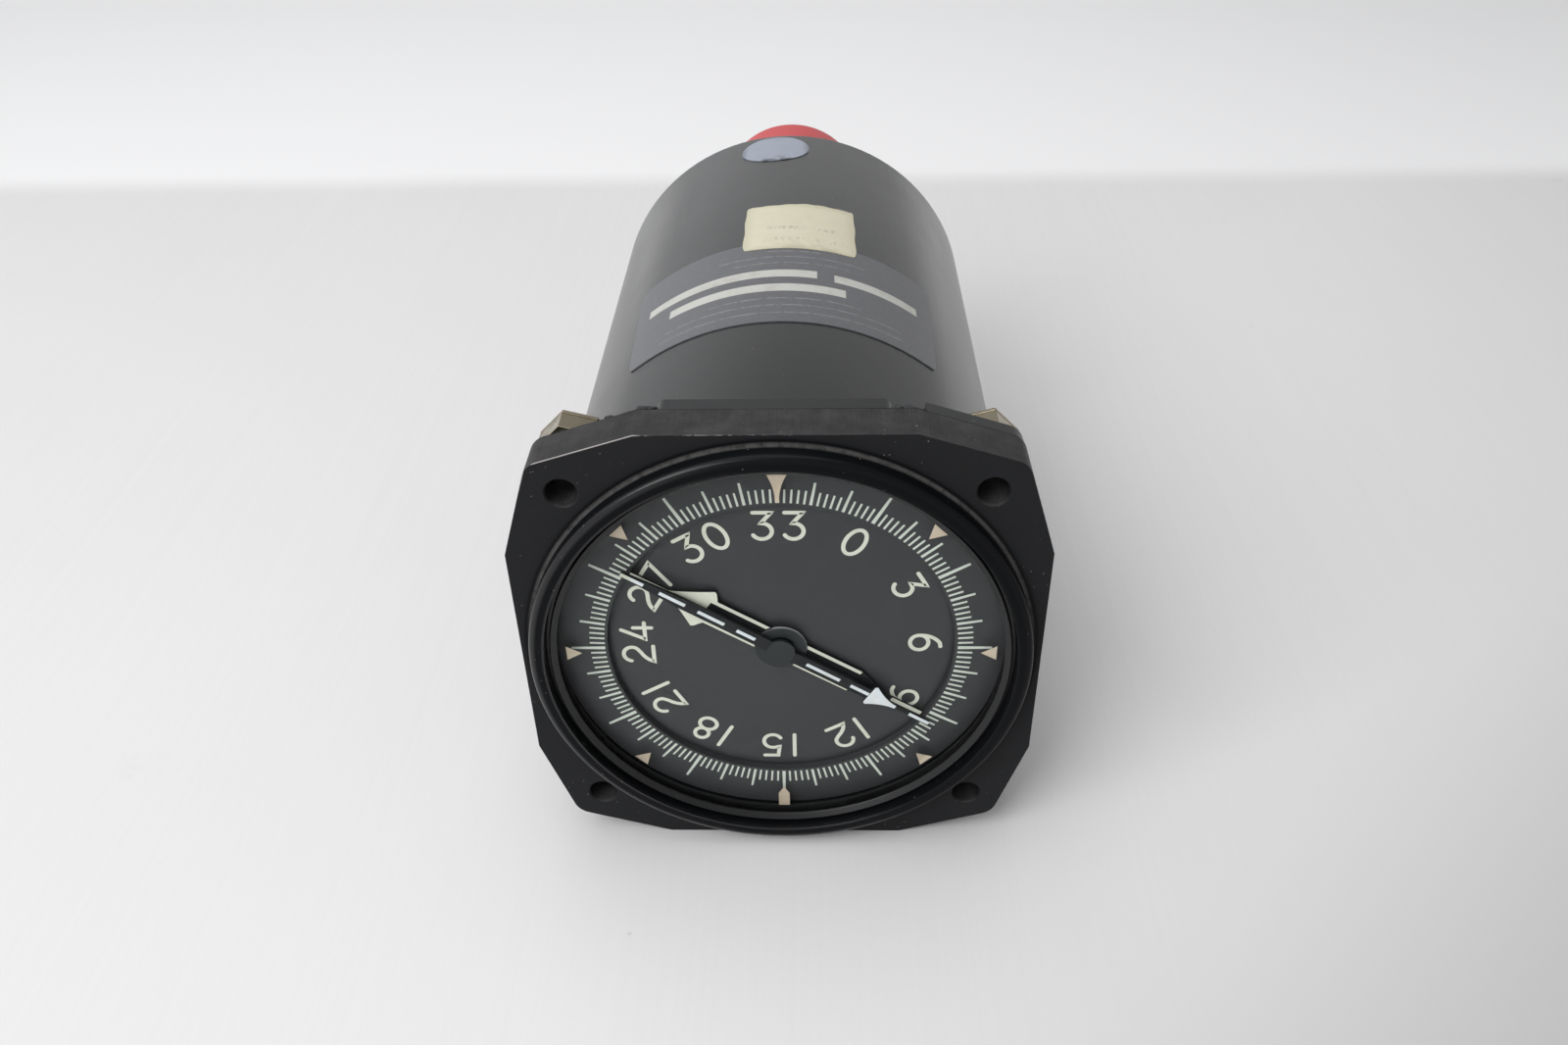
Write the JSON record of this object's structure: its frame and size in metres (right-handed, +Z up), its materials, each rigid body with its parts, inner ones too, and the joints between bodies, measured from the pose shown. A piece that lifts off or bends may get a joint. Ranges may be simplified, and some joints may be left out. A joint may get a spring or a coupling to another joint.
{
  "type": "radio magnetic indicator",
  "caption": "Aircraft panel instrument with a turning compass card, two bearing pointers, geared card drive, round case, rear connector and dust cap.",
  "frame": {"origin": "on the axis of the dial, in the front face of the mounting flange, which is the panel plane", "axes": "-Y out of the dial towards the viewer, +Y back along the case, +Z up on the dial, +X to the right as the dial is read"},
  "size_m": [0.0826, 0.1558, 0.0826],
  "materials": {
    "flange_paint": "satin near-black enamel, worn at the front edges",
    "case_paint": "satin dark grey enamel",
    "black_paint": "matt black",
    "glass": "clear polished",
    "rubber": "matt",
    "card_paint": "matt charcoal",
    "cream_paint": "matt marking paint",
    "tan_paint": "matt marking paint, aged",
    "white_paint": "matt marking paint",
    "brass": "aged, dull",
    "bronze": "turned",
    "steel": "ground",
    "plate_metal": "milled",
    "housing_metal": "drawn",
    "copper_iron": "varnished laminations and wire",
    "board": "glass-epoxy laminate",
    "components": "varnished",
    "connector_metal": "olive passivated",
    "insert": "moulded",
    "gold": "plated",
    "foil": "anodised dark grey foil",
    "paper": "aged paper",
    "red_plastic": "moulded polyethylene"
  },
  "bodies": {
    "root": {"amplifier_board": "board", "arbor_bushes": "bronze", "bearing_balls": "steel", "bearing_outer_race": "steel", "bearing_plate": "plate_metal", "board_components": "components", "case_can": "case_paint", "case_flange": "case_paint", "connector_insert": "insert", "connector_pins": "gold", "connector_screws": "steel", "connector_shell": "connector_metal", "data_plate": "foil", "front_synchro_housing": "housing_metal", "front_synchro_stator": "copper_iron", "gear_plate": "plate_metal", "glass_seal": "rubber", "index_marks": "tan_paint", "labels": "paper", "middle_plate": "plate_metal", "motor_housing": "housing_metal", "mounting_flange": "flange_paint", "panel_nuts": "brass", "plate_screws": "steel", "rear_plate": "plate_metal", "rear_synchro_housing": "housing_metal", "rear_synchro_stator": "copper_iron", "retaining_ring": "black_paint", "spacer_tubes": "brass", "synchro_bushes": "bronze", "tie_rod_nuts": "steel", "tie_rods": "steel", "transformer_housing": "housing_metal", "window_glass": "glass"},
    "compass_card": {"card_disc": "card_paint", "graduated_ring": "card_paint", "card_graduations": "cream_paint", "card_hub": "brass", "card_screws": "steel", "card_gear": "brass", "hub_bush": "bronze", "bearing_inner_race": "steel"},
    "single_bar": {"single_bar_pointer": "black_paint", "single_bar_paint": "white_paint", "single_bar_hub": "black_paint", "inner_shaft": "steel", "rear_rotor": "copper_iron"},
    "double_bar": {"double_bar_pointer": "black_paint", "double_bar_paint": "cream_paint", "double_bar_hub": "black_paint", "hollow_shaft": "steel", "sleeve_bushes": "bronze", "front_rotor": "copper_iron"},
    "transformer_shaft": {"transformer_rotor": "copper_iron", "transformer_gear": "brass"},
    "motor_shaft": {"motor_rotor": "steel"},
    "intermediate_shaft": {"intermediate_pinion": "steel", "intermediate_wheel": "brass"},
    "dust_cap": {"dust_cap": "red_plastic"}
  },
  "joints": [
    {"name": "card_turn", "type": "hinge", "parent": "root", "child": "compass_card", "pos_m": [0, 0.003, 0], "axis": [0, 1, 0], "continuous": true},
    {"name": "single_bar_turn", "type": "hinge", "parent": "root", "child": "single_bar", "pos_m": [0, 0.001, 0], "axis": [0, 1, 0], "continuous": true},
    {"name": "double_bar_turn", "type": "hinge", "parent": "root", "child": "double_bar", "pos_m": [0, 0.002, 0], "axis": [0, 1, 0], "continuous": true},
    {"name": "transformer_turn", "type": "hinge", "parent": "root", "child": "transformer_shaft", "pos_m": [-0.02079, 0.0145, 0.012], "axis": [0, 1, 0], "continuous": true},
    {"name": "intermediate_turn", "type": "hinge", "parent": "root", "child": "intermediate_shaft", "pos_m": [0.01429, 0.0145, -0.00825], "axis": [0, 1, 0], "continuous": true},
    {"name": "motor_turn", "type": "hinge", "parent": "root", "child": "motor_shaft", "pos_m": [0.01119, 0.0165, -0.02369], "axis": [0, 1, 0], "continuous": true},
    {"name": "dust_cap_pull", "type": "slide", "parent": "root", "child": "dust_cap", "axis": [0, 1, 0], "range_m": [0, 0.03]}
  ],
  "couplings": [
    {"joint": "transformer_turn", "follows": "card_turn", "ratio": -1},
    {"joint": "intermediate_turn", "follows": "card_turn", "ratio": -2.6667},
    {"joint": "motor_turn", "follows": "card_turn", "ratio": 6.6667}
  ]
}
